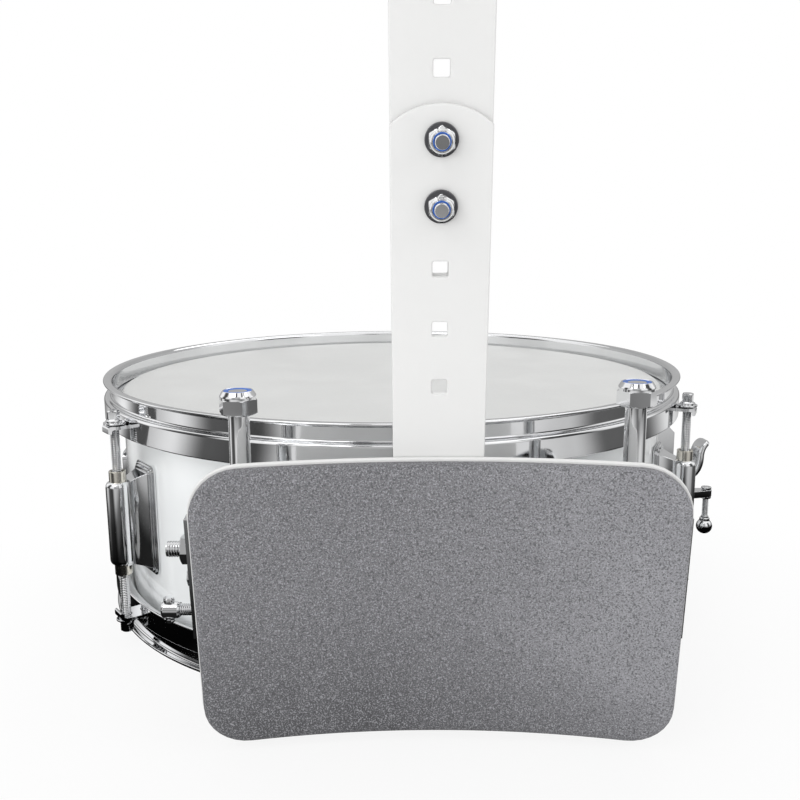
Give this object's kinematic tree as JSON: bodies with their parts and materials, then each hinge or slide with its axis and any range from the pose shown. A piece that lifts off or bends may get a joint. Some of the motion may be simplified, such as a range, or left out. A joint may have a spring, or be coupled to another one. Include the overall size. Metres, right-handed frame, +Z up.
{
  "type": "marching snare drum on harness",
  "caption": "Marching snare drum with metal hoops, lugs, snare throw-off and snare wires, hung on posts from a tilting belly plate harness with padded shoulder bars.",
  "frame": {"origin": "middle of the footprint of the whole object, on the floor that the bottom hoop stands on", "axes": "+Z up along the drum axis, -Y towards the player, +X to the player's right"},
  "size_m": [0.4268, 0.6502, 0.5069],
  "materials": {
    "gloss_white": "high gloss white wrap",
    "chrome": "bright chrome plating on steel",
    "coated_film": "white coated polyester film",
    "white_paint": "satin white powder coat",
    "foam": "grey speckled closed cell foam",
    "dark_steel": "zinc plated steel with dark washers",
    "steel_wire": "bright drawn wire",
    "strap": "woven black strap"
  },
  "bodies": {
    "drum": {"shell": "gloss_white", "air_vent": "chrome", "lug_1": "chrome", "lug_2": "chrome", "lug_3": "chrome", "lug_4": "chrome", "lug_5": "chrome", "lug_6": "chrome", "batter_head": "coated_film", "top_hoop": "chrome", "tension_rod_top_1": "chrome", "tension_rod_top_2": "chrome", "tension_rod_top_3": "chrome", "tension_rod_top_4": "chrome", "tension_rod_top_5": "chrome", "tension_rod_top_6": "chrome", "snare_head": "coated_film", "bottom_hoop": "chrome", "tension_rod_bottom_1": "chrome", "tension_rod_bottom_2": "chrome", "tension_rod_bottom_3": "chrome", "tension_rod_bottom_4": "chrome", "tension_rod_bottom_5": "chrome", "tension_rod_bottom_6": "chrome", "butt_plate": "chrome", "butt_clamp": "chrome", "butt_strap": "strap", "throw_off_base": "chrome", "post_arm_upper_left": "chrome", "post_arm_lower_left": "chrome", "post_left": "chrome", "post_nut_left": "chrome", "hanger_block_left": "chrome", "post_arm_upper_right": "chrome", "post_arm_lower_right": "chrome", "post_right": "chrome", "post_nut_right": "chrome", "hanger_block_right": "chrome", "pivot_bolt_left": "chrome", "pivot_bolt_right": "chrome"},
    "tilt_lock": {"tilt_lock_screw": "chrome"},
    "lever": {"throw_off_lever": "chrome"},
    "carriage": {"throw_off_carriage": "chrome", "strap_clamp": "chrome", "throw_off_strap": "strap"},
    "knob": {"snare_tension_knob": "chrome"},
    "wires": {"snare_wires": "steel_wire"},
    "carrier": {"belly_plate": "white_paint", "belly_pad": "foam", "lower_bar": "white_paint", "tilt_bracket": "chrome", "upper_bar": "white_paint", "yoke_plate": "white_paint", "shoulder_bar_left": "white_paint", "shoulder_pad_left": "foam", "shoulder_bar_right": "white_paint", "shoulder_pad_right": "foam", "bar_bolt_1": "dark_steel", "bar_bolt_2": "dark_steel"}
  },
  "joints": [
    {"name": "tilt", "type": "hinge", "parent": "drum", "child": "carrier", "pos_m": [0.0028, -0.07916, 0.0887], "axis": [1, 0, 0], "range_deg": [-10, 8]},
    {"name": "tilt_lock_turn", "type": "hinge", "parent": "drum", "child": "tilt_lock", "pos_m": [-0.1222, -0.07916, 0.0577], "axis": [1, 0, 0], "continuous": true},
    {"name": "throw_off", "type": "hinge", "parent": "drum", "child": "lever", "pos_m": [0.1876, 0.1524, 0.055], "axis": [-0.1305, 0.9914, 0], "range_deg": [0, 60]},
    {"name": "snare_slide", "type": "slide", "parent": "drum", "child": "carriage", "axis": [0, 0, -1], "range_m": [0, 0.0035]},
    {"name": "snare_drop", "type": "hinge", "parent": "drum", "child": "wires", "pos_m": [-0.18529, 0.10331, 0.00765], "axis": [-0.1305, 0.9914, 0], "range_deg": [0, 0.63]},
    {"name": "snare_tension", "type": "hinge", "parent": "carriage", "child": "knob", "pos_m": [0.20772, 0.15505, 0.045], "axis": [0, 0, 1], "continuous": true}
  ],
  "couplings": [
    {"joint": "throw_off", "follows": "snare_slide", "rad_per_m": 299},
    {"joint": "snare_drop", "follows": "snare_slide", "rad_per_m": 3.11}
  ]
}
